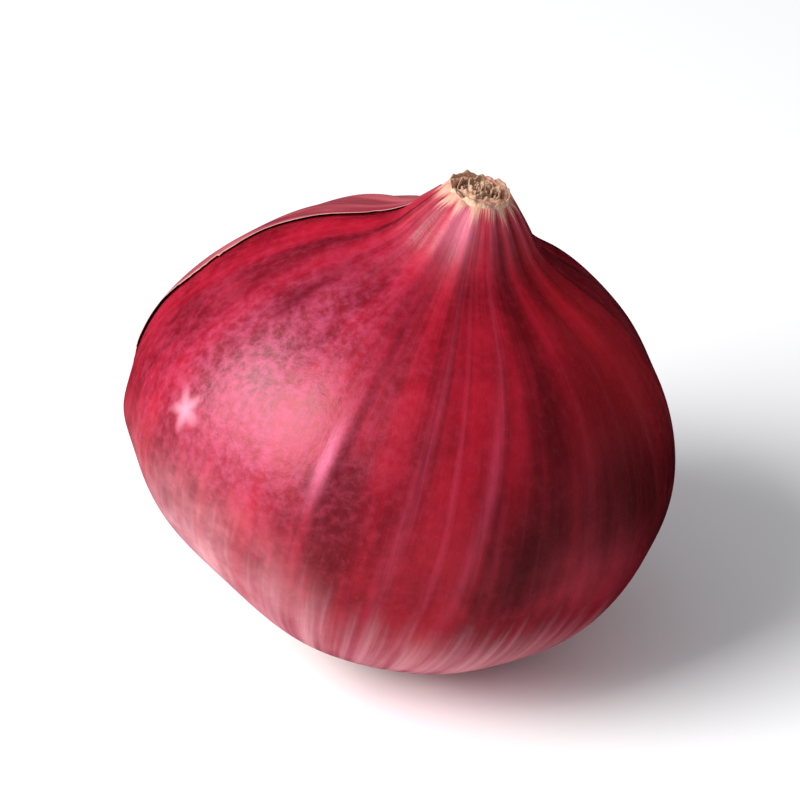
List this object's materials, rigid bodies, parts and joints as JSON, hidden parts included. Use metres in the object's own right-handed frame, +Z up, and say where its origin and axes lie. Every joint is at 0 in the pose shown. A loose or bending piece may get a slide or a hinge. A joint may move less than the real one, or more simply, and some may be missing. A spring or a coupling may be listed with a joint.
{
  "type": "pink shallot",
  "caption": "Whole pink shallot in its dry skin: a squat round bulb drawn up to a short pleated neck stub, with a sunken root plate and trimmed roots, lying on a small flat spot.",
  "frame": {"origin": "under the middle of the bulb's bounding box, at the height of the table it lies on", "axes": "+Z up from the table; -Y is the side seen in the picture; the neck leans towards +X and the root plate faces down and to -X"},
  "size_m": [0.0418, 0.0406, 0.038],
  "materials": {
    "skin": "dry onion skin with a satin gloss, deep pink to maroon"
  },
  "bodies": {
    "root": {"bulb": "skin"}
  },
  "joints": []
}
